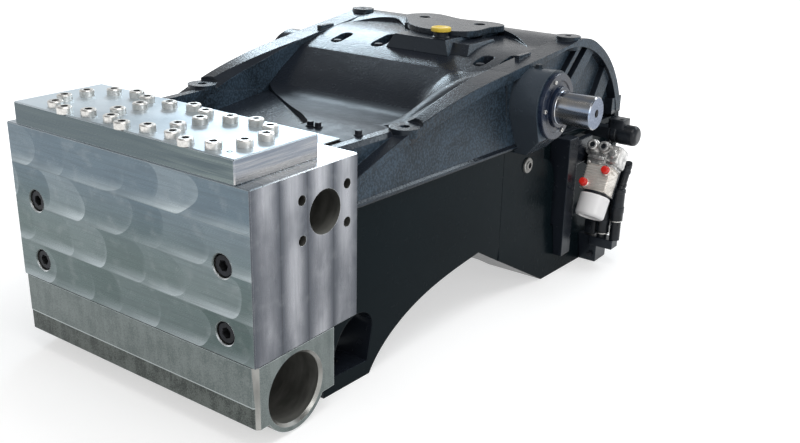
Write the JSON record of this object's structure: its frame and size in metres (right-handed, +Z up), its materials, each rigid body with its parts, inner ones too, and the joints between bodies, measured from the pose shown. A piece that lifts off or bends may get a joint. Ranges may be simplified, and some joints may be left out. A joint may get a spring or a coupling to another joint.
{
  "type": "plunger pump with gearbox",
  "caption": "Horizontal plunger pump with stainless valve block, black cast crankcase and gear housing, driven by a side input shaft.",
  "frame": {"origin": "middle of the floor space that the pump takes up, at floor level", "axes": "+X along the input shaft and out of its free end, +Y from the valve block to the gear end, +Z up"},
  "size_m": [0.984, 1.466, 0.658],
  "materials": {
    "milled_stainless": "milled faces with cutter marks",
    "bright_stainless": "fine ground",
    "rough_stainless": "rough forged skin",
    "screw_steel": "pale plated",
    "black_steel": "black oxide",
    "black_casting": "glossy black paint on a cast skin",
    "polished_steel": "ground and polished",
    "blue_ring": "satin dark blue",
    "black_plastic": "satin",
    "yellow_plastic": "satin",
    "red_plastic": "satin",
    "white_can": "glossy",
    "cast_silver": "cast"
  },
  "bodies": {
    "pump": {"valve_block": "milled_stainless", "cover_plate": "bright_stainless", "suction_manifold": "rough_stainless", "tie_plate": "bright_stainless", "cover_screws": "screw_steel", "front_screws": "black_steel", "crankcase": "black_casting", "hood": "black_casting", "gear_housing": "black_casting", "gear_top": "black_casting", "bearing_boss": "black_casting", "left_bearing_boss": "black_casting", "inspection_cover": "black_casting", "lifting_flange": "black_casting", "split_bolts": "black_steel", "deck_bolts": "black_steel", "seal_ring": "blue_ring", "left_bearing_cover": "blue_ring", "seal_screws": "screw_steel", "breather_neck": "black_plastic", "breather_cap": "yellow_plastic", "wall_bolt": "screw_steel", "unit_bracket": "black_casting", "oil_pump": "cast_silver", "oil_cooler": "bright_stainless", "cooler_caps": "red_plastic", "oil_filter": "white_can", "unit_foot": "black_casting", "filter_housing": "black_plastic", "rear_valve": "black_plastic"},
    "input_shaft": {"input_shaft": "polished_steel"}
  },
  "joints": [
    {"name": "input_shaft_spin", "type": "hinge", "parent": "pump", "child": "input_shaft", "pos_m": [0.432, 0.23, 0.5065], "axis": [1, 0, 0], "continuous": true}
  ]
}
